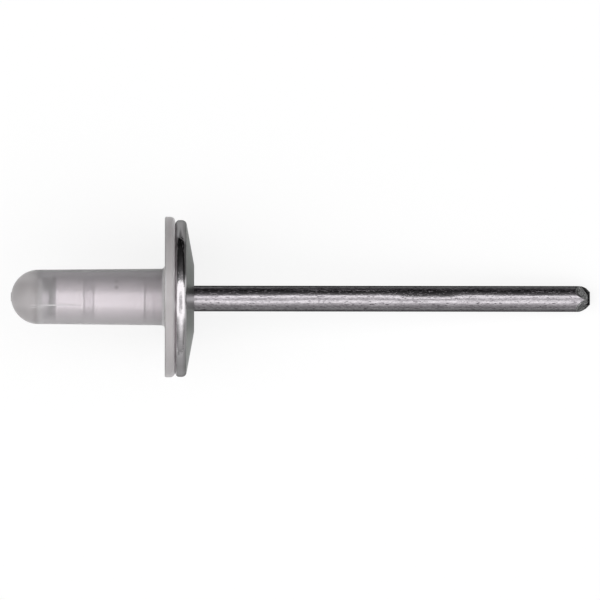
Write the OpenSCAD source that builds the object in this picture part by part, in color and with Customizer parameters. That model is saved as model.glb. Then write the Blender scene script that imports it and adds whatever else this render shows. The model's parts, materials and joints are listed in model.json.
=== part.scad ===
// Sealed blind rivet with a large flange: an aluminium body on a steel mandrel, in a loose plastic sleeve.
// Each piece is drawn upright about Z, with the sleeve's seat face at z = 0, its dome below and the
// mandrel's free end above. Then all of it is laid down as it rests: on the wide rim and the mandrel's end.

/* [Rivet body] */
// Diameter of the tubular shank
shank_d = 4.8; // [4:0.1:6.4]
// Length of the shank below the head
shank_len = 12.6; // [10:0.1:20]
// Radius round the shank's end
shank_end_round = 0.35; // [0.1:0.05:0.5]
// Clearance all round between the shank's hole and the mandrel
mandrel_clearance = 0.06; // [0.03:0.01:0.12]
// Diameter of the wide head
head_d = 16; // [12:0.5:20]
// Height of the head at its middle
head_h = 1.95; // [1.5:0.01:2.5]
// Diameter of the flat on top of the head
head_flat_d = 6.8; // [5:0.1:9]
// Slope of the head's conical top, in degrees
head_slope = 10.4; // [5:0.1:12]
// Radius of the rim's edge next to the sleeve
rim_under_round = 0.45; // [0.1:0.05:0.5]
// Radius of the rim's edge next to the cone
rim_top_round = 0.5; // [0.1:0.05:0.5]

/* [Grip grooves] */
// Number of grooves rolled into the shank
groove_count = 2; // [1:1:2]
// Distance from the head to the middle of the first groove
groove_first = 2.6; // [1.5:0.1:3.5]
// Distance from one groove to the next
groove_pitch = 6.2; // [3:0.1:6.5]
// Width of a groove at the shank's surface
groove_w = 1.15; // [0.8:0.05:1.6]
// Width of a groove's floor
groove_floor_w = 0.75; // [0.3:0.05:0.75]
// Depth of a groove
groove_depth = 0.2; // [0.1:0.05:0.4]

/* [Mandrel] */
// Diameter of the mandrel's wire
mandrel_d = 2.63; // [2:0.01:3]
// Length of the wire that stands out of the rivet's head
free_len = 40.35; // [25:0.05:50]
// Diameter of the upset head that will swell the shank
bulb_d = 4.3; // [3.8:0.05:4.7]
// Length of the straight part of that head
bulb_len = 0.94; // [0.5:0.02:1.5]
// Length of its tapered nose
nose_len = 0.66; // [0.3:0.02:1]
// Diameter of the flat on the nose
nose_d = 3; // [2:0.1:3.6]
// Length of the tapered heel that bears on the shank's end
heel_len = 0.3; // [0.1:0.02:0.6]
// Width of the ring on which the heel bears
heel_seat_w = 0.33; // [0.15:0.01:0.5]
// Distance from the shank's end to the middle of the break notch
notch_in = 2; // [1:0.1:3]
// Diameter left at the bottom of the break notch
notch_d = 1.9; // [1.5:0.05:2]
// Width of the break notch at the wire's surface
notch_w = 0.9; // [0.6:0.05:1.2]
// Length of the swollen stretch that grips the shank's hole
swell_len = 1.2; // [0.8:0.1:2]
// Distance from the top of the head down to that stretch
swell_in = 0.1; // [0.05:0.01:0.15]
// Gap left between the swollen stretch and the hole's wall
swell_gap = 0.01; // [0.005:0.005:0.02]

/* [Pinched end] */
// Angle between a facet of the cut end and the wire's axis
facet_angle = 41.5; // [35:0.5:50]
// Angle from the up side round to the middle of each facet of the upper pair
facet_turn = 60; // [50:1:65]
// How far beyond the wire's blunt end the upper pair of facets would meet
facet_rise = 0.18; // [0:0.02:0.4]
// How much higher up the wire's axis the lower pair of facets meets
facet_step = 0.9; // [0.6:0.05:1.2]
// Turn of the whole cut end about the wire
cut_turn = 4; // [-8:1:8]

/* [Sleeve] */
// How far the flange's edge stands out beyond the head's rim
flange_overhang = 0.19; // [0.05:0.01:0.5]
// Thickness of the flange
flange_t = 1.05; // [0.8:0.01:1.5]
// Radius of the flange's edge on the seat side
flange_seat_round = 0.15; // [0.05:0.01:0.2]
// Radius of the flange's edge on the side of the head
flange_back_round = 0.5; // [0.1:0.05:0.55]
// Fillet between the flange and the tube
root_fillet = 0.35; // [0.1:0.05:0.6]
// Clearance all round between the shank and the sleeve
sleeve_clearance = 0.17; // [0.06:0.01:0.25]
// Gap that is left on the side to which the loose sleeve has slid
slide_gap = 0.02; // [0.01:0.005:0.04]
// Wall of the tube where it meets the dome
sleeve_wall = 0.205; // [0.155:0.01:0.5]
// Draft of the tube's outside, in degrees
sleeve_draft = 0.53; // [0:0.01:1]
// Space between the mandrel's nose and the closed end
nose_clearance = 0.15; // [0.05:0.05:0.5]
// Thickness of the closed end
tip_wall = 2.07; // [1.5:0.01:2.6]
// Radius round the bottom of the bore
bore_end_round = 1.2; // [0.8:0.1:1.6]
// Diameter of the mark left where the moulding was gated
gate_d = 0.9; // [0.5:0.1:1.4]
// How far the gate mark stands out of the dome
gate_proud = 0.03; // [0.02:0.01:0.1]

/* [Hidden] */
$fn = 96;

// Overlap of joined shapes and overshoot of cuts
lap = 0.05;

sleeve_colour = [0.78, 0.77, 0.78];
aluminium_colour = [0.66, 0.66, 0.65];
steel_colour = [0.56, 0.54, 0.57];

shank_r = shank_d / 2;
mandrel_r = mandrel_d / 2;
hole_r = mandrel_r + mandrel_clearance;

// Heights of the pieces, from the dome's end upwards
head_bottom = flange_t;
head_top = head_bottom + head_h;
shank_end = head_bottom - shank_len;
bulb_end = shank_end - heel_len;
nose_start = bulb_end - bulb_len;
nose_end = nose_start - nose_len;
bore_end = nose_end - nose_clearance;
sleeve_tip = bore_end - tip_wall;
mandrel_end = head_top + free_len;

// The head's outline: its cone, and the centre of the round between the cone and the rim
head_r = head_d / 2;
function cone_h(r) = head_h - (r - head_flat_d / 2) * tan(head_slope);
rim_top_at = [head_r - rim_top_round, cone_h(head_r - rim_top_round) - rim_top_round / cos(head_slope)];

// The sleeve's outline
bore_r = shank_r + sleeve_clearance;
dome_r = bore_r + sleeve_wall;
dome_at = sleeve_tip + dome_r;
root_r = dome_r - dome_at * tan(sleeve_draft);
flange_r = head_r + flange_overhang;
sleeve_slide = sleeve_clearance - slide_gap;

// Tilt of the axis when a rim with a rounded edge, centred at [radius, height], and the lowest corner of
// the mandrel's end lie on one flat surface
function tilt_on(centre, round_r) =
    let (across = centre[0] - mandrel_r, along = mandrel_end - centre[1])
    atan2(across, along) + asin(round_r / norm([across, along]));
lie_tilt = max(
    tilt_on([flange_r - flange_back_round, flange_t - flange_back_round], flange_back_round),
    tilt_on(rim_top_at + [0, head_bottom], rim_top_round),
    tilt_on([head_r - rim_under_round, head_bottom + rim_under_round], rim_under_round)
);

// Lays an upright piece down, with the mandrel towards +X and a little downwards
module lie_down() {
    rotate([0, 90 + lie_tilt, 0]) children();
}

// Half section of a disc's rim from r to full_r, between two heights, with its two edges rounded
module rim_section(full_r, height, low_round, high_round) {
    square([full_r - max(low_round, high_round), height]);
    translate([0, low_round]) square([full_r, height - low_round - high_round]);
    translate([full_r - low_round, low_round]) circle(r = low_round);
    translate([full_r - high_round, height - high_round]) circle(r = high_round);
}

// Ring that fills the corner between the tube and the flange's seat face
module root_fillet_ring() {
    rotate_extrude() difference() {
        translate([root_r - lap, -root_fillet]) square([root_fillet + lap, root_fillet + lap]);
        translate([root_r + root_fillet, -root_fillet]) circle(r = root_fillet);
    }
}

// The bore, open at the flange and closed with a rounded bottom
module sleeve_bore() {
    translate([0, 0, bore_end + bore_end_round])
        cylinder(r = bore_r, h = flange_t + lap - bore_end - bore_end_round);
    rotate_extrude() {
        translate([0, bore_end]) square([bore_r - bore_end_round, bore_end_round + lap]);
        intersection() {
            translate([bore_r - bore_end_round, bore_end + bore_end_round]) circle(r = bore_end_round);
            translate([0, bore_end]) square([bore_r, bore_end_round + lap]);
        }
    }
}

// Closed plastic sleeve: flange, drafted tube, dome and gate mark in one moulding
module sleeve() {
    color(sleeve_colour) lie_down() translate([0, sleeve_slide, 0]) difference() {
        union() {
            rotate_extrude() rim_section(flange_r, flange_t, flange_seat_round, flange_back_round);
            root_fillet_ring();
            translate([0, 0, dome_at]) cylinder(r1 = dome_r, r2 = root_r, h = -dome_at);
            translate([0, 0, dome_at]) sphere(r = dome_r);
            translate([0, 0, sleeve_tip - gate_proud]) cylinder(d = gate_d, h = gate_proud + dome_r / 4);
        }
        sleeve_bore();
    }
}

// Half section of the head, with its flat underside at height 0
module head_section() {
    top_tangent = rim_top_at + rim_top_round * [sin(head_slope), cos(head_slope)];
    polygon([
        [0, 0],
        [head_r - rim_under_round, 0],
        [head_r, rim_under_round],
        [head_r, rim_top_at[1]],
        top_tangent,
        [head_flat_d / 2, head_h],
        [0, head_h]
    ]);
    translate([head_r - rim_under_round, rim_under_round]) circle(r = rim_under_round);
    translate(rim_top_at) circle(r = rim_top_round);
}

// One rolled groove with sloping walls, at its place below the head
module grip_groove(below_head) {
    outside = shank_r + lap;
    flare = lap * (groove_w - groove_floor_w) / 2 / groove_depth;
    translate([0, 0, head_bottom - below_head]) rotate_extrude() polygon([
        [shank_r - groove_depth, -groove_floor_w / 2],
        [shank_r - groove_depth, groove_floor_w / 2],
        [outside, groove_w / 2 + flare],
        [outside, -groove_w / 2 - flare]
    ]);
}

// Half section of the shank, with its end rounded
module shank_section() {
    translate([0, shank_end + shank_end_round]) square([shank_r, shank_len - shank_end_round + lap]);
    translate([0, shank_end]) square([shank_r - shank_end_round, shank_end_round + lap]);
    translate([shank_r - shank_end_round, shank_end + shank_end_round]) circle(r = shank_end_round);
}

// Rivet body: grooved tubular shank and wide head in one piece
module rivet_body() {
    color(aluminium_colour) lie_down() difference() {
        union() {
            translate([0, 0, head_bottom]) rotate_extrude() head_section();
            rotate_extrude() shank_section();
        }
        for (i = [0 : groove_count - 1]) grip_groove(groove_first + i * groove_pitch);
        translate([0, 0, shank_end - lap]) cylinder(r = hole_r, h = head_top - shank_end + 2 * lap);
    }
}

// Half outline of the mandrel's upset head and of its wire, without the cut end
module mandrel_section() {
    polygon([
        [0, nose_end],
        [nose_d / 2, nose_end],
        [bulb_d / 2, nose_start],
        [bulb_d / 2, bulb_end],
        [hole_r + heel_seat_w, shank_end],
        [mandrel_r, shank_end],
        [mandrel_r, shank_end + notch_in - notch_w / 2],
        [notch_d / 2, shank_end + notch_in],
        [mandrel_r, shank_end + notch_in + notch_w / 2],
        [mandrel_r, mandrel_end],
        [0, mandrel_end]
    ]);
}

// Barrel-shaped stretch of the wire that grips the hole just under the head's top
module swell() {
    rise = mandrel_clearance - swell_gap;
    bulge_r = (pow(swell_len / 2, 2) + pow(rise, 2)) / 2 / rise;
    translate([0, 0, head_top - swell_in - swell_len / 2]) rotate_extrude() intersection() {
        translate([mandrel_r + rise - bulge_r, 0]) circle(r = bulge_r);
        translate([mandrel_r / 2, -swell_len / 2]) square([mandrel_r, swell_len]);
    }
}

// Everything beyond one facet of the cut end: its middle is turned from the up side, and its plane
// crosses the wire's axis at the given height
module facet_cut(turn, height) {
    side = 4 * mandrel_d;
    translate([0, 0, height]) rotate([0, 0, 180 + turn]) rotate([0, 90 - facet_angle, 0])
        translate([-side / 2, -side / 2, 0]) cube(side);
}

// Mandrel: wire with an upset head inside the dome and an end pinched off between two pairs of blades
module mandrel() {
    color(steel_colour) lie_down() difference() {
        union() {
            rotate_extrude() mandrel_section();
            swell();
        }
        for (side = [-1, 1]) {
            facet_cut(cut_turn + side * facet_turn, mandrel_end + facet_rise);
            facet_cut(cut_turn + side * (180 - facet_turn), mandrel_end + facet_rise + facet_step);
        }
    }
}

sleeve();
rivet_body();
mandrel();
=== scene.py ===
# Looks of a sealed blind rivet with a large flange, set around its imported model.
import json
import math

import bpy
from mathutils import Matrix, Vector


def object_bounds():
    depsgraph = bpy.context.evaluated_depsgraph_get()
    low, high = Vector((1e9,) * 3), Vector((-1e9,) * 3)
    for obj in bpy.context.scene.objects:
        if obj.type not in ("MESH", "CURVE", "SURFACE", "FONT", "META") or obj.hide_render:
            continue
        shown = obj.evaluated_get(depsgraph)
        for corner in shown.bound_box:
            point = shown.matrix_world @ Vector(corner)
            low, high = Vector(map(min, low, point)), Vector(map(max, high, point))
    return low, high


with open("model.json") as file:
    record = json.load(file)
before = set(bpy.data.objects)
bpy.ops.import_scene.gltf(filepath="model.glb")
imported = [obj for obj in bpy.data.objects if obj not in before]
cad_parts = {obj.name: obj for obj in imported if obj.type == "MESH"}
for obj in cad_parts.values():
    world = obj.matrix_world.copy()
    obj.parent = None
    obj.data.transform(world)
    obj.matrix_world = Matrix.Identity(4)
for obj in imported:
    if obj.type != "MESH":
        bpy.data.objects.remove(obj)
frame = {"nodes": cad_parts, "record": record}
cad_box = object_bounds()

MM = 0.001


def rgb(red, green, blue):
    return (red, green, blue, 1)


def grey(level):
    return rgb(level, level, level)


BLACK = grey(0.0)
WHITE = grey(1.0)

# Axes of the rivet as it lies: along the wire, across it, and out of it on the upper side
stem = next(m for m in frame["record"]["mounts"] if m["name"] == "mandrel_stem")
ALONG = Vector(stem["axis"])
ACROSS = Vector((0, 1, 0))
UPPER = ALONG.cross(ACROSS)

# The photograph: its width in pixels, the real size of a pixel, and where the wire's axis lies in it
PHOTO_PX = 600
PIXEL = 0.10197 * MM
SEAT_PX = 164.75
AXIS_ROW_PX = 298.64
ROLL = math.radians(0.07)
CAMERA_DISTANCE = 0.5

# Light from each side, as angle from straight above (positive to the back) and radiance
SKY = [
    (-90, 0.42), (-78, 0.52), (-70, 0.57), (-63, 0.68), (-56, 0.82), (-49, 1.00), (-43, 1.22), (-37, 1.48),
    (-31, 1.64), (-25, 1.73), (0, 1.71), (22, 1.71), (25, 1.14), (28, 0.41), (34, 0.28), (44, 0.15),
    (56, 0.08), (68, 0.04), (90, 0.02),
]
SKY_TOP = 2.0
# Dull patch overhead: its angle from straight above, its half width, and how much light it takes
PATCH_ANGLE = math.radians(-6)
PATCH_HALF = math.radians(19)
PATCH_SHADE = 0.55
# Even light from beyond the rivet's two ends: its radiance, and where it starts and is complete
END_LIGHT = 0.5
END_FROM = math.sin(math.radians(66))
END_FULL = math.sin(math.radians(86))

# Floor: half its side in metres, its colour as seen and as a source of light, and how much it glows
FLOOR_HALF = 4.0
FLOOR_COLOUR = grey(0.98)
FLOOR_BOUNCE = grey(0.6)
FLOOR_GLOW = 0.8

# Sockets of the Mix node when it mixes colours
MIX_SHARE, MIX_FIRST, MIX_SECOND, MIX_RESULT = 0, 6, 7, 2


class Graph:
    """Nodes of one material or world, with short calls for the nodes that are used most."""

    def __init__(self, tree):
        self.nodes = tree.nodes
        self.links = tree.links

    def put(self, socket, value):
        """Feeds a socket from another socket, or sets it to a number, vector or colour."""
        if isinstance(value, bpy.types.NodeSocket):
            self.links.new(value, socket)
        else:
            socket.default_value = value

    def math(self, operation, *values):
        node = self.nodes.new("ShaderNodeMath")
        node.operation = operation
        for socket, value in zip(node.inputs, values):
            self.put(socket, value)
        return node.outputs[0]

    def dot(self, vector, direction):
        node = self.nodes.new("ShaderNodeVectorMath")
        node.operation = "DOT_PRODUCT"
        self.put(node.inputs[0], vector)
        self.put(node.inputs[1], direction)
        return node.outputs["Value"]

    def product(self, value, *others):
        """All the values, multiplied."""
        for other in others:
            value = self.math("MULTIPLY", value, other)
        return value

    def rest(self, share):
        """What a share leaves of the whole."""
        return self.math("SUBTRACT", 1.0, share)

    def off(self, value, middle):
        """How far a value is from a middle one."""
        return self.math("ABSOLUTE", self.math("SUBTRACT", value, middle))

    def distance(self, first, second):
        """Length of a line that goes so far along two axes at right angles."""
        square = self.math("ADD", self.math("POWER", first, 2), self.math("POWER", second, 2))
        return self.math("SQRT", square)

    def step(self, value, start, end, low=0.0, high=1.0):
        """low before start, high after end, and a smooth change between them."""
        node = self.nodes.new("ShaderNodeMapRange")
        node.interpolation_type = "SMOOTHSTEP"
        names = ("Value", "From Min", "From Max", "To Min", "To Max")
        for name, given in zip(names, (value, start, end, low, high)):
            self.put(node.inputs[name], given)
        return node.outputs["Result"]

    def stretch(self, value, first, second):
        """Product of the steps over two zones that bound a stretch."""
        return self.product(self.step(value, *first), self.step(value, *second))

    def mix(self, share, first, second):
        """A blend of two colours."""
        node = self.nodes.new("ShaderNodeMix")
        node.data_type = "RGBA"
        self.put(node.inputs[MIX_SHARE], share)
        self.put(node.inputs[MIX_FIRST], first)
        self.put(node.inputs[MIX_SECOND], second)
        return node.outputs[MIX_RESULT]

    def darken(self, share, colour):
        return self.mix(share, colour, BLACK)

    def bump(self, height, distance):
        node = self.nodes.new("ShaderNodeBump")
        self.put(node.inputs["Distance"], distance)
        self.put(node.inputs["Height"], height)
        return node.outputs["Normal"]


class Skin(Graph):
    """A material with one Principled shader and the place on the rivet in millimetres."""

    def __init__(self, name, **settings):
        self.material = bpy.data.materials.new(name)
        self.material.use_nodes = True
        super().__init__(self.material.node_tree)
        self.shader = self.nodes["Principled BSDF"]
        self.set(**settings)
        here = self.nodes.new("ShaderNodeTexCoord").outputs["Object"]
        self.along, self.across, self.upper = (
            self.dot(here, direction / MM) for direction in (ALONG, ACROSS, UPPER)
        )

    def set(self, **settings):
        """Sets inputs of the shader by name, with _ for a space."""
        for name, value in settings.items():
            self.put(self.shader.inputs[name.replace("_", " ")], value)

    def off_middle(self):
        """Distance across from the wire's axis, to either side."""
        return self.math("ABSOLUTE", self.across)

    def radius(self, off_axis=0.0):
        """Distance from the axis, or from a line that lies off_axis millimetres across from it."""
        return self.distance(self.math("SUBTRACT", self.across, off_axis), self.upper)

    def noise(self, along, around, detail=3.0, roughness=0.55):
        """Noise with about so many grains to the millimetre along the rivet and around it."""
        place = self.nodes.new("ShaderNodeCombineXYZ")
        sides = ((self.along, along), (self.across, around), (self.upper, around))
        for socket, (value, grains) in zip(place.inputs, sides):
            self.put(socket, self.math("MULTIPLY", value, grains))
        node = self.nodes.new("ShaderNodeTexNoise")
        self.put(node.inputs["Vector"], place.outputs[0])
        self.put(node.inputs["Scale"], 1.0)
        self.put(node.inputs["Detail"], detail)
        self.put(node.inputs["Roughness"], roughness)
        return node.outputs["Fac"]


def add_camera():
    """Looks straight down on the rivet, at right angles to its axis."""
    data = bpy.data.cameras.new("camera")
    data.type = "ORTHO"
    data.ortho_scale = PHOTO_PX * PIXEL
    camera = bpy.data.objects.new("camera", data)
    bpy.context.scene.collection.objects.link(camera)
    middle = PHOTO_PX / 2
    target = ALONG * ((middle - SEAT_PX) * PIXEL) - ACROSS * ((middle - AXIS_ROW_PX) * PIXEL)
    turned = Matrix((ALONG, ACROSS, UPPER)).transposed() @ Matrix.Rotation(ROLL, 3, "Z")
    camera.matrix_world = Matrix.Translation(target + UPPER * CAMERA_DISTANCE) @ turned.to_4x4()
    bpy.context.scene.camera = camera


def add_sky():
    """Studio light: a wide soft band overhead that runs across the rivet, black behind, grey in front."""
    world = bpy.data.worlds.new("studio")
    bpy.context.scene.world = world
    world.use_nodes = True
    world.node_tree.nodes.clear()
    sky = Graph(world.node_tree)
    direction = sky.nodes.new("ShaderNodeTexCoord").outputs["Generated"]
    # The ramp spans half a turn, with straight above in its middle, and loses the two stops it comes with
    angle = sky.math("ARCTAN2", sky.dot(direction, ACROSS), sky.dot(direction, UPPER))
    ramp = sky.nodes.new("ShaderNodeValToRGB")
    sky.put(ramp.inputs[0], sky.math("MULTIPLY_ADD", angle, 1 / math.pi, 0.5))
    stops = ramp.color_ramp.elements
    stops.remove(stops[-1])
    for degrees, radiance in SKY:
        stop = stops.new(math.radians(degrees) / math.pi + 0.5)
        stop.color = grey(radiance / SKY_TOP)
    stops.remove(stops[0])
    patch = UPPER * math.cos(PATCH_ANGLE) + ACROSS * math.sin(PATCH_ANGLE)
    taken = sky.step(sky.dot(direction, patch), math.cos(PATCH_HALF), 1.0, 0.0, PATCH_SHADE)
    band = sky.product(ramp.outputs["Color"], sky.math("MULTIPLY_ADD", taken, -SKY_TOP, SKY_TOP))
    endwise = sky.step(sky.math("ABSOLUTE", sky.dot(direction, ALONG)), END_FROM, END_FULL)
    background = sky.nodes.new("ShaderNodeBackground")
    sky.put(background.inputs["Color"], sky.mix(endwise, band, grey(END_LIGHT)))
    output = sky.nodes.new("ShaderNodeOutputWorld")
    sky.put(output.inputs["Surface"], background.outputs[0])


def add_floor():
    """Plain white floor just under the rivet, with the rivet's soft shadow."""
    mesh = bpy.data.meshes.new("floor")
    low, high, height = -FLOOR_HALF, FLOOR_HALF, cad_box[0].z
    corners = [(low, low, height), (high, low, height), (high, high, height), (low, high, height)]
    mesh.from_pydata(corners, [], [range(len(corners))])
    floor = bpy.data.objects.new("floor", mesh)
    bpy.context.scene.collection.objects.link(floor)
    material = bpy.data.materials.new("floor")
    material.use_nodes = True
    material.node_tree.nodes.clear()
    ground = Graph(material.node_tree)
    path = ground.nodes.new("ShaderNodeLightPath").outputs
    seen = ground.math("MAXIMUM", path["Is Camera Ray"], path["Is Glossy Ray"])
    seen = ground.math("MAXIMUM", seen, path["Is Transmission Ray"])
    paper = ground.nodes.new("ShaderNodeBsdfDiffuse")
    ground.put(paper.inputs["Color"], ground.mix(seen, FLOOR_BOUNCE, FLOOR_COLOUR))
    glow = ground.nodes.new("ShaderNodeEmission")
    mix = ground.nodes.new("ShaderNodeMixShader")
    ground.put(mix.inputs[0], ground.product(seen, FLOOR_GLOW))
    ground.put(mix.inputs[1], paper.outputs[0])
    ground.put(mix.inputs[2], glow.outputs[0])
    ground.put(ground.nodes.new("ShaderNodeOutputMaterial").inputs["Surface"], mix.outputs[0])
    mesh.materials.append(material)


# Zones on the rivet, in millimetres: along it from the seat, across it from the wire's axis and positive
# to the back, and radii from that axis. A zone says where a change starts and where it is complete. The
# change is from 0 to 1, or between the two levels that follow. Two zones together bound a stretch.

# Sleeve: how far it has slid on the shank, its clear stretch, and the haze outside its bore
SLEEVE_SLID = 0.15
CLEAR = (-13.6, -12.2), (-0.05, -0.4)
BORE_WALL = (2.57, 2.62, 0.0, 0.26)
# The wall's pale colour: from which clearness on, and the stretch of the tube's root that has it too
PALE_CLEAR = (0.15, 0.95)
# At the root the pale colour is painted light, lifting the shade where the tube meets the flange
PALE_ROOT = (-3.0, -2.0), (0.08, -0.3)
# Witness lines of the mould on the upper side of the tube: place across, start and end along, half width
WITNESS = [(-0.69, -13.9, -8.3, 0.06), (-0.93, -13.9, -11.4, 0.04)]
# The share of the half width where a line is full, its two fades, its strength on the upper side, and
# how much of the wall's pale colour it shows
WITNESS_CORE = 0.4
WITNESS_FADE_IN = 0.6
WITNESS_FADE_OUT = 1.5
WITNESS_UPPER = (1.0, 1.5, 0.0, 0.7)
WITNESS_PALE = 0.4

# Tube: its colour on the front, painted shade on its back, and painted shade on its two edges
TUBE_FRONT = rgb(0.97, 0.94, 0.96)
TUBE_BACK_SHADE = rgb(0.72, 0.70, 0.72)
TUBE_TO_BACK = (1.5, 2.7)
TUBE_BACK_EDGE = (2.5, 2.9, 0.0, 0.32)
TUBE_FRONT_EDGE_SHADE = (-2.0, -2.5, 0.0, 0.11)
# Smudges on the back of the tube: place along, place across, radius, strength
SMUDGES = [(-4.92, 1.75, 0.35, 0.2), (-4.92, 1.12, 0.35, 0.42)]
# Scratch on the tube: its place across, its half width and strength, and its two ends
SCRATCH = -0.7
SCRATCH_HALF = (0.09, 0.02, 0.0, 0.17)
SCRATCH_ENDS = (-11.2, -10.9), (-8.3, -8.7)
# Colour of both, which lie on the upper side only
DIRT = grey(0.1)
DIRT_UPPER = (0.0, 0.5)

# Solid plastic of flange and dome, with painted shade to the front
SOLID = rgb(0.435, 0.415, 0.42)
SOLID_FRONT_SHADE = (-3.5, -7.5, 0.0, 0.14)
# Flange's outer edge: darker at the seat, and painted light on the lip next to the metal head
FLANGE_RADIUS = (7.6, 7.8)
SEAT_EDGE = rgb(0.26, 0.25, 0.25)
SEAT_EDGE_ALONG = (0.2, 0.05)
SEAT_EDGE_ACROSS = (2.7, 3.2, 0.75, 1.0)
LIP_LIGHT = rgb(0.85, 0.83, 0.84)
LIP_ALONG = (0.85, 1.02)
LIP_MIDDLE = 0.9
LIP_NEAR = (2.6, 1.2)
LIP_ENDS = (6.0, 6.8, 0.0, 0.6)
# Painted highlight on the middle of the flange: its place across, and its reach across and along
PAINTED_GLEAM = rgb(0.475, 0.455, 0.46)
GLEAM_MIDDLE = 1.0
GLEAM_NEAR = (2.4, 0.8)
GLEAM_ALONG = (-0.3, 0.1)
# Dome: painted light on its back, painted shade on its front
DOME_ALONG = (-12.0, -13.2)
DOME_BACK_LIGHT = rgb(0.56, 0.54, 0.545)
DOME_BACK_ACROSS = (1.3, 2.2)
DOME_FRONT_SHADE = (-0.6, -1.4, 0.0, 0.13)

# Plastic itself: its relief, and the light that it takes up, per metre
PLASTIC_GRAIN = (1.5, 2.5)
PLASTIC_BUMP = 0.006 * MM
ABSORBED = 300


def witness_lines(skin):
    """Share of the faint lines that the mould left on the upper side of the tube."""
    lines = 0.0
    for place, start, end, half in WITNESS:
        fades = skin.stretch(skin.along, (start, start + WITNESS_FADE_IN), (end, end - WITNESS_FADE_OUT))
        line = skin.step(skin.off(skin.across, place), half, half * WITNESS_CORE)
        lines = skin.math("MAXIMUM", skin.product(line, fades), lines)
    return skin.product(lines, skin.step(skin.upper, *WITNESS_UPPER))


def tube_colour(skin):
    """The thin wall of the tube, with painted shade on its back and edges, its smudges and its scratch."""
    # Painted shade on the back of the tube and on its two edges
    wall = skin.mix(skin.step(skin.across, *TUBE_TO_BACK), TUBE_FRONT, TUBE_BACK_SHADE)
    edges = skin.math(
        "ADD",
        skin.step(skin.across, *TUBE_BACK_EDGE),
        skin.step(skin.across, *TUBE_FRONT_EDGE_SHADE),
    )
    wall = skin.darken(edges, wall)
    on_top = skin.step(skin.upper, *DIRT_UPPER)
    for along, across, size, strength in SMUDGES:
        apart = skin.distance(
            skin.math("SUBTRACT", skin.along, along),
            skin.math("SUBTRACT", skin.across, across),
        )
        wall = skin.mix(skin.product(skin.step(apart, size, 0.0, 0.0, strength), on_top), wall, DIRT)
    scratch = skin.step(skin.off(skin.across, SCRATCH), *SCRATCH_HALF)
    scratch = skin.product(scratch, skin.stretch(skin.along, *SCRATCH_ENDS), on_top)
    return skin.mix(scratch, wall, DIRT)


def solid_colour(skin):
    """Flange and dome, where the plastic is solid, with their painted shade and painted light."""
    off_middle = skin.off_middle()
    rim = skin.step(skin.radius(SLEEVE_SLID), *FLANGE_RADIUS)
    edge = skin.product(
        skin.step(skin.along, *SEAT_EDGE_ALONG),
        rim,
        skin.step(off_middle, *SEAT_EDGE_ACROSS),
    )
    solid = skin.mix(edge, SOLID, SEAT_EDGE)
    # Painted light on the flange's lip, in the crevice next to the metal head
    reach = skin.step(skin.off(skin.across, LIP_MIDDLE), *LIP_NEAR)
    reach = skin.math("ADD", reach, skin.step(off_middle, *LIP_ENDS))
    solid = skin.mix(skin.product(skin.step(skin.along, *LIP_ALONG), rim, reach), solid, LIP_LIGHT)
    # Painted shade on the front of the flange
    solid = skin.darken(skin.step(skin.across, *SOLID_FRONT_SHADE), solid)
    # Painted highlight on the flange's middle
    painted_gleam = skin.step(skin.off(skin.across, GLEAM_MIDDLE), *GLEAM_NEAR)
    solid = skin.mix(skin.product(skin.step(skin.along, *GLEAM_ALONG), painted_gleam), solid, PAINTED_GLEAM)
    dome = skin.step(skin.along, *DOME_ALONG)
    # Painted light on the dome's back and painted shade on its front
    solid = skin.mix(skin.product(dome, skin.step(skin.across, *DOME_BACK_ACROSS)), solid, DOME_BACK_LIGHT)
    return skin.darken(skin.product(dome, skin.step(skin.across, *DOME_FRONT_SHADE)), solid)


def milky_plastic():
    """Sleeve: clear enough to show the shank through its thin wall, milky where it is solid."""
    skin = Skin("sleeve", IOR=1.45, Subsurface_Scale=MM, Subsurface_Radius=(2.0, 2.0, 2.0))
    clear = skin.stretch(skin.along, *CLEAR)
    lines = witness_lines(skin)
    haze = skin.math("MAXIMUM", skin.step(skin.radius(SLEEVE_SLID), *BORE_WALL), lines)
    # The pale colour at the tube's root is painted light in the corner by the flange
    pale = skin.math("MAXIMUM", skin.step(clear, *PALE_CLEAR), skin.stretch(skin.along, *PALE_ROOT))
    pale = skin.math("MAXIMUM", pale, skin.product(lines, WITNESS_PALE))
    skin.set(
        Base_Color=skin.mix(pale, solid_colour(skin), tube_colour(skin)),
        Transmission_Weight=skin.product(clear, skin.rest(haze)),
        Subsurface_Weight=skin.rest(clear),
        Roughness=0.345,
        Specular_IOR_Level=0.3,
        Normal=skin.bump(skin.math("ADD", skin.noise(*PLASTIC_GRAIN), lines), PLASTIC_BUMP),
    )
    body = skin.nodes.new("ShaderNodeVolumeAbsorption")
    skin.put(body.inputs["Color"], BLACK)
    skin.put(body.inputs["Density"], ABSORBED)
    skin.put(skin.nodes["Material Output"].inputs["Volume"], body.outputs[0])
    return skin.material


# Noise: grains to the millimetre along and around, then detail and roughness where they aren't the usual
METAL_GRAIN = (3.0, 3.0, 3.0, 0.6)
DENTS = (1.6, 0.8, 3.0, 0.6)

# Rivet body: where its head starts, and the polished rim of the head
HEAD_ALONG = (0.8, 1.0)
RIM_RADIUS = (7.3, 7.5)
RIM_END = (2.26, 2.13)
# Rim's colour and its painted reflections: less of it at its two ends, and less in its top, next to the
# cone
RIM = rgb(0.90, 0.85, 0.89)
RIM_ENDS = (5.0, 6.2, 1.0, 0.62)
TOP_ALONG = (1.75, 1.95)
TOP_BACK = (1.6, 2.6, 0.0, -0.8)
TOP_FRONT = (-1.6, -2.6, 0.0, -0.45)
TOP_ENDS = (5.3, 6.3, 1.0, 0.3)
# Painted dark reflection, a lens on the back of the rim: its middle and its half width across
LENS_MIDDLE = 4.0
LENS_HALF = (0.9, 1.9, 0.68, 1.0)
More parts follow.
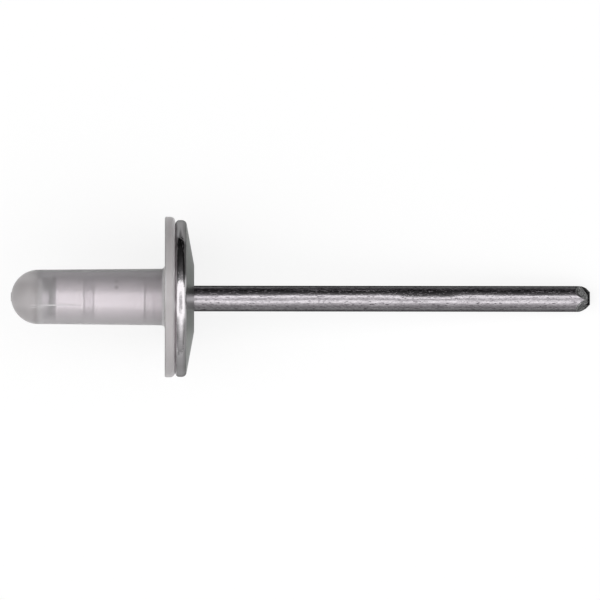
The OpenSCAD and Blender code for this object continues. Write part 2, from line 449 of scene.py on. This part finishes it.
# The lens's pointed far end: its line along, its half width at the axis, how much that narrows with each
# millimetre across, and its two ends
POINT_LINE = 1.6
POINT_HALF = (1.91, 1.61, 0.0, -0.7)
POINT_NARROWING = 0.25
POINT_ENDS = (4.9, 5.5), (7.5, 6.7)
# Taper of the rim's painted reflection beside its middle: its ends across, and its reach along
TAPER_ENDS = (1.6, 2.2), (5.0, 3.6)
TAPER_ALONG = (1.65, 1.35, 0.0, -0.42)
TAPER_UNDER = (1.15, 1.28)

# Cone: its two colours, with painted shade in its middle and painted light to the front
CONE = rgb(0.40, 0.41, 0.40), rgb(0.56, 0.57, 0.56)
CONE_MIDDLE_SHADE = (2.5, 5.0, 0.16, 0.0)
CONE_PAINTED_LIGHT = rgb(0.9, 0.92, 0.91)
CONE_FRONT = (-2.5, -4.5, 0.0, 0.35)
# Tint of cone and shank at grazing angles. It is lifted in a painted reflection of the wire on the cone,
# which has two sides, a dark back and a dark line in its front
METAL_EDGE_TINT = rgb(0.3, 0.31, 0.3)
IMAGE_SIDES = (1.35, 1.05)
IMAGE_BACK = (0.6, 0.4, 0.42, 1.0)
IMAGE_LINE = -0.4
IMAGE_LINE_HALF = (0.08, 0.25, 0.66, 1.0)

# Shank: its two colours, with painted shade to the front
SHANK = rgb(0.96, 0.91, 0.94), rgb(1.0, 0.95, 0.98)
SHANK_FRONT = (-1.4, -2.0, 0.0, 0.28)
# Painted shade in the rolled grooves: place along and strength, then their half width and their colours
GROOVES = [(-7.75, 1.0), (-1.55, 0.25)]
GROOVE_HALF = (0.62, 0.5)
GROOVE_SHADE_BACK = rgb(0.76, 0.71, 0.75)
GROOVE_SHADE_FRONT = rgb(0.6, 0.56, 0.59)
GROOVE_TO_FRONT = (-0.8, -1.5)
# Darker stretch on the front of the shank, and painted shade on the shank's end under the dome
DARK_STRETCH_ENDS = (-11.0, -10.8), (-8.3, -8.5)
DARK_STRETCH_FRONT = (-0.88, -1.05, 0.0, 0.19)
SHANK_END_SHADE = rgb(0.2, 0.18, 0.2)
SHANK_END_ALONG = (-11.2, -11.0)

# Roughness of the shank, duller to the back, and of the head, and what the rim's polish takes off it
SHANK_DULL = (0.2, 1.0, 0.38, 0.68)
HEAD_DULL = 0.28
RIM_POLISH = -0.16
# Relief, in parts of its bump: dents on the rim, a ramp with a ragged start at the rim's back end, and a
# ramp across the shank's back
METAL_BUMP = 0.012 * MM
DENT_DEPTH = 4.0
RIM_FLAT = (5.35, 7.0, 0.0, 25.0)
RIM_FLAT_RAGGED = 0.8
SHANK_TILT = (0.2, 1.6, 0.0, 8.0)
# Coat that darkens the rim's reflections, less at its two ends, and not on its underside
# Less coat at the rim's ends, and none on its underside, is painted light, lifting the crevice's shade
METAL_COAT = rgb(0.65, 0.66, 0.65)
METAL_COAT_ALONG = (1.1, 1.25)
METAL_COAT_ENDS = (6.8, 7.8, 1.0, 0.75)


def painted_rim_reflection(skin):
    """Share of the rim's colour that its painted reflections leave, with a painted dark lens on its back.
    """
    off_middle = skin.off_middle()
    top = skin.math("ADD", skin.step(skin.across, *TOP_BACK), skin.step(skin.across, *TOP_FRONT))
    top = skin.product(top, skin.step(off_middle, *TOP_ENDS))
    top = skin.math("MULTIPLY_ADD", top, skin.step(skin.along, *TOP_ALONG), 1.0)
    lens = skin.step(skin.off(skin.across, LENS_MIDDLE), *LENS_HALF)
    taper = skin.product(skin.stretch(off_middle, *TAPER_ENDS), skin.step(skin.along, *TAPER_ALONG))
    taper = skin.product(taper, skin.step(skin.along, *TAPER_UNDER))
    point = skin.math("MULTIPLY_ADD", skin.across, POINT_NARROWING, skin.off(skin.along, POINT_LINE))
    point = skin.product(skin.step(point, *POINT_HALF), skin.stretch(skin.across, *POINT_ENDS))
    # Painted reflections: darker ends and top, the dark lens with its pointed end, and the taper
    light = skin.product(skin.step(off_middle, *RIM_ENDS), top, lens)
    return skin.product(light, skin.math("ADD", taper, 1.0), skin.math("ADD", point, 1.0))


def head_colour(skin, rim, grain):
    """Dull cone with its painted shade and light, and polished rim with its painted reflections."""
    # Painted shade in the cone's middle, and painted light to its front
    cone = skin.darken(skin.step(skin.off_middle(), *CONE_MIDDLE_SHADE), skin.mix(grain, *CONE))
    cone = skin.mix(skin.step(skin.across, *CONE_FRONT), cone, CONE_PAINTED_LIGHT)
    return skin.mix(rim, cone, skin.mix(painted_rim_reflection(skin), BLACK, RIM))


def shank_colour(skin, grain):
    """Bright shank, with painted shade to its front, in its grooves and on its end, and a darker stretch.
    """
    # Painted shade to the front of the shank
    shank = skin.darken(skin.step(skin.across, *SHANK_FRONT), skin.mix(grain, *SHANK))
    # Painted shade in the rolled grooves, darker to the front
    rolled = skin.mix(skin.step(skin.across, *GROOVE_TO_FRONT), GROOVE_SHADE_BACK, GROOVE_SHADE_FRONT)
    for place, strength in GROOVES:
        shank = skin.mix(skin.step(skin.off(skin.along, place), *GROOVE_HALF, 0.0, strength), shank, rolled)
    # A darker stretch on the front, and painted shade on the shank's end
    dark_stretch = skin.product(skin.stretch(skin.along, *DARK_STRETCH_ENDS), skin.step(skin.across, *DARK_STRETCH_FRONT))
    return skin.mix(skin.step(skin.along, *SHANK_END_ALONG), SHANK_END_SHADE, skin.darken(dark_stretch, shank))


def painted_wire_image(skin):
    """Share by which the tint at grazing angles is lifted, to paint the wire's reflection on the cone."""
    image = skin.product(skin.step(skin.off_middle(), *IMAGE_SIDES), skin.step(skin.across, *IMAGE_BACK))
    return skin.product(image, skin.step(skin.off(skin.across, IMAGE_LINE), *IMAGE_LINE_HALF))


def body_relief(skin, head, rim, grain):
    """Fine grain all over, dents and a ramp on the rim, and a ramp on the shank."""
    dents = skin.noise(*DENTS)
    flat = skin.step(skin.math("MULTIPLY_ADD", dents, RIM_FLAT_RAGGED, skin.across), *RIM_FLAT)
    relief = skin.math("MULTIPLY_ADD", skin.math("MULTIPLY_ADD", dents, DENT_DEPTH, flat), rim, grain)
    return skin.math("ADD", relief, skin.product(skin.rest(head), skin.step(skin.across, *SHANK_TILT)))


def tumbled_aluminium():
    """Rivet body: bright shank, dull grey cone, and a rim that the tumbling has polished."""
    skin = Skin("rivet_body", Metallic=1.0, Coat_IOR=1.0, Coat_Tint=METAL_COAT)
    head = skin.step(skin.along, *HEAD_ALONG)
    rim = skin.product(head, skin.step(skin.radius(), *RIM_RADIUS), skin.step(skin.along, *RIM_END))
    grain = skin.noise(*METAL_GRAIN)
    dull = skin.step(skin.across, *SHANK_DULL)
    dull = skin.math("MULTIPLY_ADD", head, skin.math("SUBTRACT", HEAD_DULL, dull), dull)
    coat = skin.product(
        rim,
        skin.step(skin.off_middle(), *METAL_COAT_ENDS),
        skin.step(skin.along, *METAL_COAT_ALONG),
    )
    skin.set(
        Base_Color=skin.mix(head, shank_colour(skin, grain), head_colour(skin, rim, grain)),
        # Tint at grazing angles, lifted on the rim and in the painted reflection of the wire on the cone
        Specular_Tint=skin.mix(skin.math("MAXIMUM", rim, painted_wire_image(skin)), METAL_EDGE_TINT, WHITE),
        Roughness=skin.math("MULTIPLY_ADD", rim, RIM_POLISH, dull),
        Coat_Weight=coat,
        Normal=skin.bump(body_relief(skin, head, rim, grain), METAL_BUMP),
    )
    return skin.material


# Noise on the wire: scratches, drawing lines, pits, long bends, and the rough torn surface
STREAKS = (2.4, 9.0, 3.0, 0.75)
LINES = (0.3, 4.5, 3.0, 0.6)
PITS = (2.6, 7.5, 1.0)
BENDS = (0.12, 0.5, 2.0)
ROUGH = (5.0, 5.0, 4.0, 0.7)

# Wire: its radius and its two colours, and where its upper half starts
WIRE_RADIUS = 1.315
WIRE = rgb(0.62, 0.58, 0.62), rgb(1.0, 0.95, 1.0)
WIRE_GRAIN = (0.28, 0.72)
WIRE_UPPER = (-0.4, 0.1)
# Painted dark reflections as stripes on its upper half, across it in radii, and how scratches break them up
STRIPE_REFLECTION = rgb(0.04, 0.03, 0.04)
STRIPE_BACK = (0.6, 0.69, 0.0, 0.9), (0.78, 0.9, 1.0, 0.1)
STRIPE_FRONT = (-0.26, -0.38, 0.0, 0.26)
STRIPE_BROKEN = -0.35
STRIPE_WHOLE = 1.15
# Painted dark reflections on the edges of its upper half, across it in radii
EDGE = rgb(0.06, 0.09, 0.07)
EDGE_BACK = (0.7, 0.86, 0.0, 0.42)
EDGE_FRONT = (-0.66, -0.78, 0.0, 0.36), (-0.94, -0.86)
# Pits: from which noise on they show, and their strength across the wire in radii
PIT = rgb(0.14, 0.12, 0.14)
PIT_FROM = (0.61, 0.70)
PIT_SIDE = (0.25, 0.4, 0.5, 1.0)
# Painted shade on the shoulder of the upset head under the dome
SHOULDER_SHADE = rgb(0.1, 0.09, 0.1)
SHOULDER_ENDS = (-12.9, -12.8), (-12.5, -12.6)

# Pinched end: its facets, by how much they face the end and where they start
FACET_FACING = (0.2, 0.3)
FACETS_FROM = (41.5, 41.6)
# Torn stretch before the facets. It starts along a curve: the tip's place across, and the curve's terms
TIP = -0.08
TIP_CURVE = -1.05
TIP_SLOPE = 2.0
TORN_FROM = (42.8, 42.9)
TORN_UPPER = (0.0, 0.3)
# Painted shadow in the crease where the torn stretch starts, along the same curve, and its fades across
CREASE_SHADOW = grey(0.02)
CREASE_ENDS = (42.7, 42.8), (43.1, 42.95)
CREASE_FRONT = (0.05, 0.2, 0.0, 0.9)
CREASE_BACK = (0.8, 0.45, 0.15, 1.0)
# Torn surface: its two colours, the noise between which they change, and how it darkens to the front
TEAR = grey(0.1), grey(0.42)
TEAR_ROUGH = (0.35, 0.65)
TEAR_FRONT = (-0.4, -0.8, 0.0, 0.25)
# Burr at its far edge: the same, half its straight stretch, how it falls back beyond that, and where it
# shows
BURR = grey(0.01), grey(0.12)
BURR_ROUGH = (0.4, 0.7)
BURR_STRAIGHT = 0.4
BURR_FALL = 0.75
BURR_FROM = (43.07, 43.15)
BURR_FRONT = (-0.76, -0.6)
BURR_UPPER = (-0.9, -0.3, 0.4, 1.0)

# Roughness of the wire, and what pits and tears add to it
WIRE_DULL = 0.08
PIT_DULL = 0.2
TEAR_DULL = 0.4
# Relief, in parts of its bump, with a flat worn on the wire's back, which has two ends and a reach across
WIRE_BUMP = 0.02 * MM
STREAK_DEPTH = 0.6
LINE_DEPTH = 0.4
BEND_DEPTH = 6.0
PIT_DEPTH = 0.5
TEAR_DEPTH = 4.0
WORN_DEPTH = -5.0
WORN_ENDS = (23.6, 24.8), (30.0, 28.8)
WORN_ACROSS = 0.7
# Tint at grazing angles, and the coat that darkens the wire: its least weight and what the top adds
WIRE_EDGE_TINT = rgb(0.02, 0.025, 0.02)
WIRE_COAT = grey(0.58)
WIRE_COAT_LEAST = 0.4
# What the top adds is painted shade: darker reflections on the wire's upper half
WIRE_COAT_TOP_SHADE = 0.6


def wire_colour(skin, streaks, pits, top):
    """Drawn wire with pits, painted shade on its shoulder, and painted dark reflections on its upper half.
    """
    grain = skin.step(streaks, *WIRE_GRAIN)
    across = skin.math("DIVIDE", skin.across, WIRE_RADIUS)
    # Painted dark reflections as stripes on the wire's upper half
    stripe = skin.math("ADD", skin.stretch(across, *STRIPE_BACK), skin.step(across, *STRIPE_FRONT))
    stripe = skin.product(stripe, skin.math("MULTIPLY_ADD", grain, STRIPE_BROKEN, STRIPE_WHOLE), top)
    wire = skin.mix(stripe, skin.mix(grain, *WIRE), STRIPE_REFLECTION)
    # Painted dark reflections on the edges of the wire's upper half
    edge = skin.math("ADD", skin.step(across, *EDGE_BACK), skin.stretch(across, *EDGE_FRONT))
    wire = skin.mix(skin.product(edge, top), wire, EDGE)
    # Painted shade on the shoulder
    wire = skin.mix(skin.stretch(skin.along, *SHOULDER_ENDS), wire, SHOULDER_SHADE)
    side = skin.math("DIVIDE", skin.off_middle(), WIRE_RADIUS)
    return skin.mix(skin.product(pits, skin.step(side, *PIT_SIDE)), wire, PIT)


def tear_colour(skin, rough):
    """Torn surface of the pinched end, with the dark burr at its edge."""
    past = skin.math("MAXIMUM", skin.math("SUBTRACT", skin.off_middle(), BURR_STRAIGHT), 0.0)
    burr = skin.step(skin.math("MULTIPLY_ADD", past, BURR_FALL, skin.along), *BURR_FROM)
    burr = skin.product(burr, skin.step(skin.across, *BURR_FRONT), skin.step(skin.upper, *BURR_UPPER))
    tear = skin.mix(skin.step(rough, *TEAR_ROUGH), *TEAR)
    tear = skin.mix(burr, tear, skin.mix(skin.step(rough, *BURR_ROUGH), *BURR))
    return skin.darken(skin.step(skin.across, *TEAR_FRONT), tear)


def pinched_end(skin):
    """Shares of the torn surface and of the painted shadow in the crease where it starts."""
    facing = skin.dot(skin.nodes.new("ShaderNodeNewGeometry").outputs["True Normal"], ALONG)
    facets = skin.product(skin.step(facing, *FACET_FACING), skin.step(skin.along, *FACETS_FROM))
    off_tip = skin.off(skin.across, TIP)
    slope = skin.math("MULTIPLY_ADD", off_tip, TIP_CURVE, TIP_SLOPE)
    curve = skin.math("MULTIPLY_ADD", slope, off_tip, skin.along)
    on_top = skin.step(skin.upper, *TORN_UPPER)
    crease = skin.product(skin.stretch(curve, *CREASE_ENDS), skin.step(skin.across, *CREASE_FRONT))
    crease = skin.product(crease, skin.step(skin.across, *CREASE_BACK))
    crease = skin.product(crease, skin.math("SUBTRACT", on_top, facets))
    torn = skin.math("MAXIMUM", facets, skin.product(skin.step(curve, *TORN_FROM), on_top))
    return torn, crease


def wire_relief(skin, streaks, pits, rough, torn):
    """Scratches, drawing lines, long bends, pits, the worn flat and the torn surface."""
    reach = skin.math("MINIMUM", skin.math("MAXIMUM", skin.across, 0.0), WORN_ACROSS)
    worn = skin.product(skin.stretch(skin.along, *WORN_ENDS), reach)
    relief = skin.math("MULTIPLY_ADD", streaks, STREAK_DEPTH, skin.product(skin.noise(*LINES), LINE_DEPTH))
    relief = skin.math("MULTIPLY_ADD", skin.noise(*BENDS), BEND_DEPTH, relief)
    relief = skin.math("MULTIPLY_ADD", worn, WORN_DEPTH, relief)
    relief = skin.math("SUBTRACT", relief, skin.product(pits, PIT_DEPTH))
    return skin.math("ADD", relief, skin.product(rough, TEAR_DEPTH, torn))


def drawn_steel():
    """Mandrel: drawn wire with lengthwise scratches and small pits, torn and dull on its pinched end."""
    skin = Skin("mandrel", Metallic=1.0, Specular_Tint=WIRE_EDGE_TINT, Coat_IOR=1.0, Coat_Tint=WIRE_COAT)
    streaks = skin.noise(*STREAKS)
    pits = skin.step(skin.noise(*PITS), *PIT_FROM)
    rough = skin.noise(*ROUGH)
    top = skin.step(skin.upper, *WIRE_UPPER)
    torn, crease = pinched_end(skin)
    colour = skin.mix(torn, wire_colour(skin, streaks, pits, top), tear_colour(skin, rough))
    dull = skin.math("MULTIPLY_ADD", pits, PIT_DULL, WIRE_DULL)
    # Coat heavier on the upper half, as painted shade
    coat = skin.math("MULTIPLY_ADD", top, WIRE_COAT_TOP_SHADE, WIRE_COAT_LEAST)
    skin.set(
        # Painted shadow in the crease at the torn end
        Base_Color=skin.mix(crease, colour, CREASE_SHADOW),
        Roughness=skin.math("MULTIPLY_ADD", torn, TEAR_DULL, dull),
        Coat_Weight=skin.product(skin.rest(torn), coat),
        Normal=skin.bump(wire_relief(skin, streaks, pits, rough, torn), WIRE_BUMP),
    )
    return skin.material


def dress(node, material):
    """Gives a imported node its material."""
    piece = frame["nodes"][node]
    piece.material_slots[0].material = material


add_camera()
add_sky()
add_floor()
dress("sleeve", milky_plastic())
dress("rivet_body", tumbled_aluminium())
dress("mandrel", drawn_steel())
bpy.context.scene.view_settings.view_transform = "Standard"
